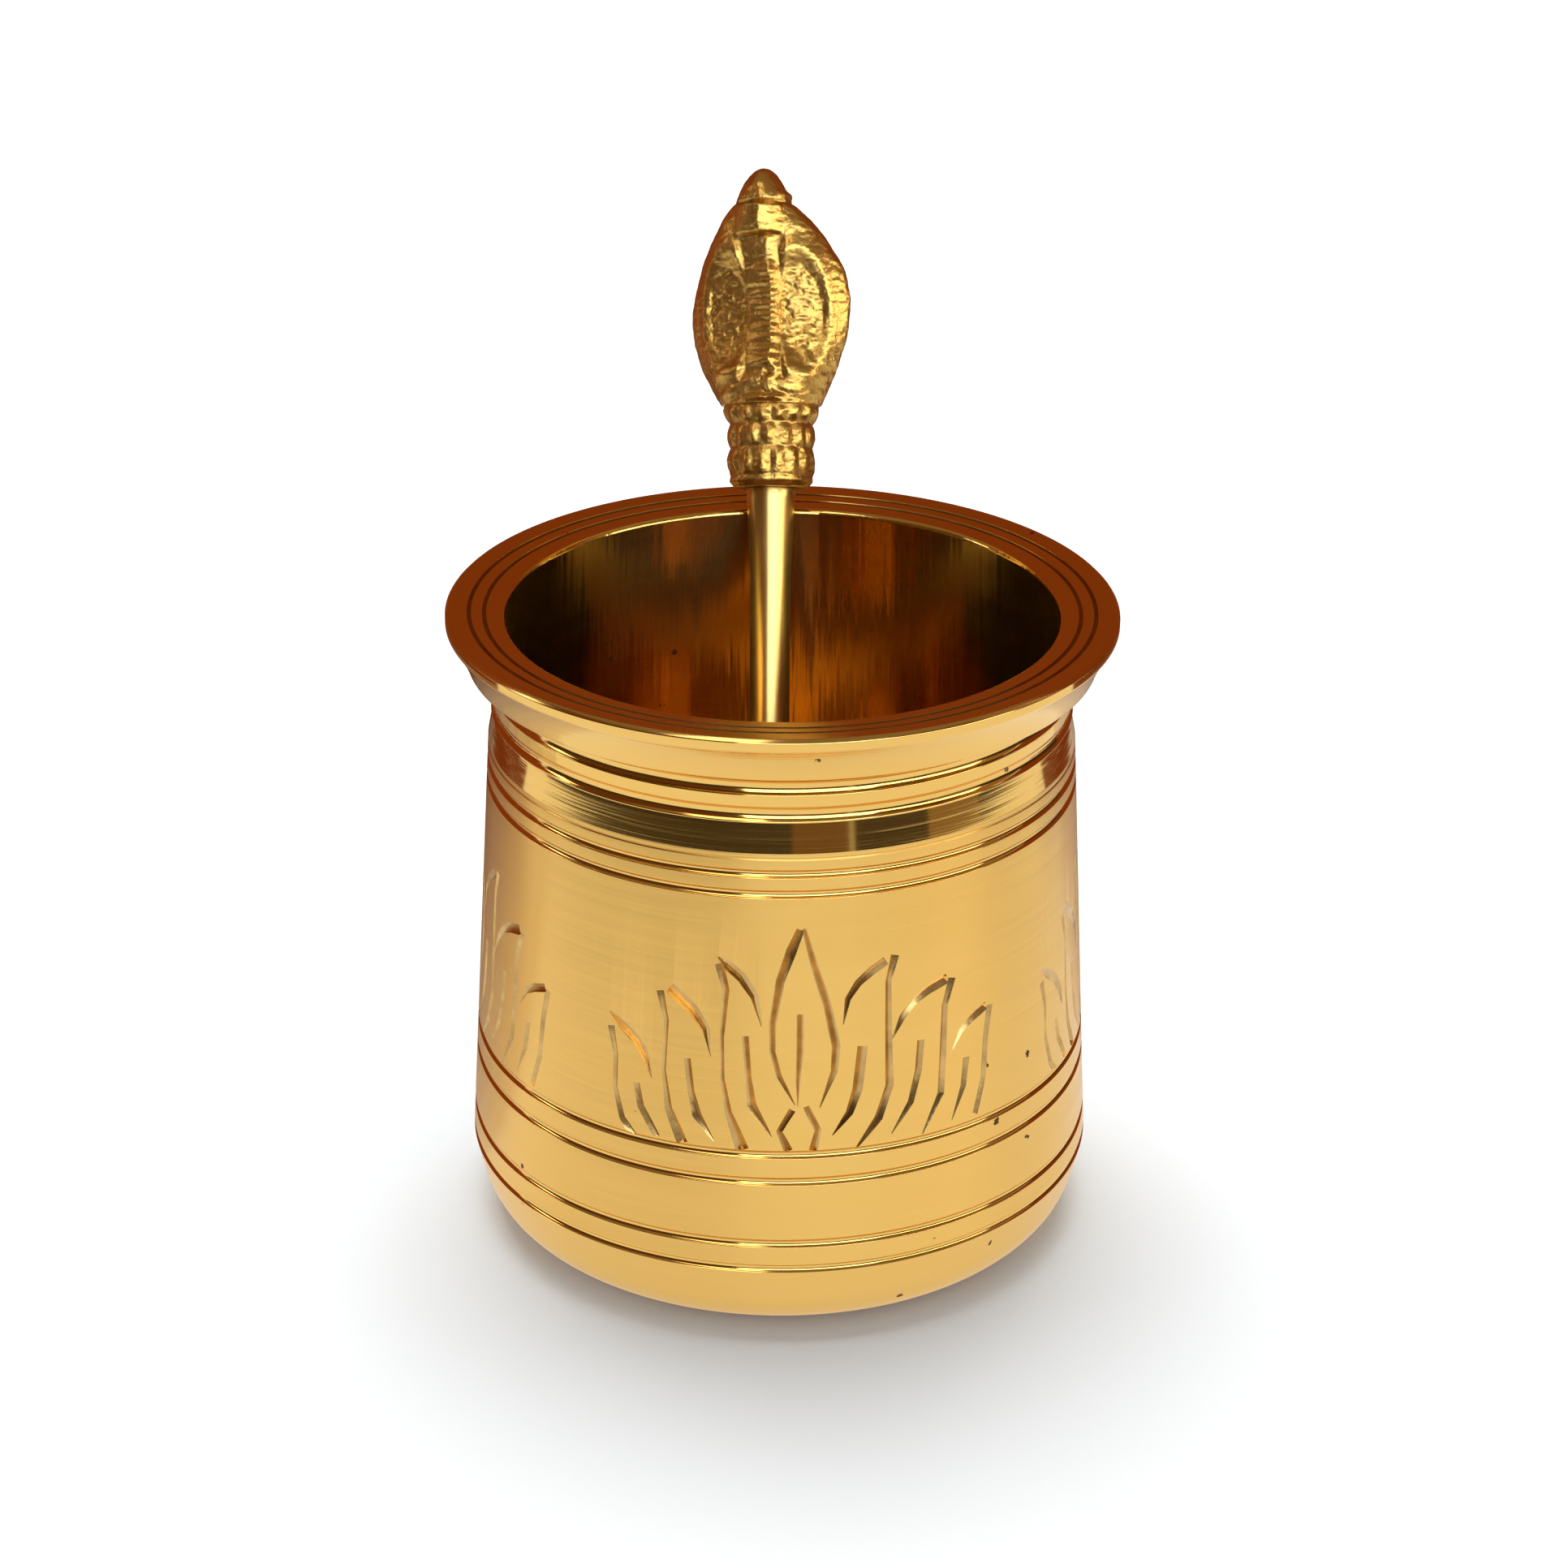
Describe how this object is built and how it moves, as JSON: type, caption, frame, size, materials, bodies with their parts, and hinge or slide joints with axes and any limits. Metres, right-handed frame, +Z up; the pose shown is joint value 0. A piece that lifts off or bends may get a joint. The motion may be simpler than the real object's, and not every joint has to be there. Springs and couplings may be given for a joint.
{
  "type": "panchpatra",
  "caption": "Turned brass ritual water cup with a flared rim and lotus engraving, and a loose spoon with a cobra-hood finial leaning in its mouth.",
  "frame": {"origin": "centre of the cup's flat base, on the surface that it stands on", "axes": "+Z up along the cup's axis; -Y is the front, which the finial's face and the spoon's hollow look towards; the spoon leans back towards +Y"},
  "size_m": [0.076, 0.0827, 0.113],
  "materials": {
    "cup_brass": "satin turned brass with polished rings",
    "shank_brass": "polished turned brass",
    "bowl_brass": "polished brass",
    "finial_brass": "cast brass, tumbled, dark in the hollows"
  },
  "bodies": {
    "vessel": {"cup": "cup_brass"},
    "spoon": {"spoon_shank": "shank_brass", "spoon_bowl": "bowl_brass", "naga_finial": "finial_brass"}
  },
  "joints": [
    {"name": "spoon_lift", "type": "slide", "parent": "vessel", "child": "spoon", "axis": [0, 0, 1], "range_m": [0, 0.09]}
  ]
}
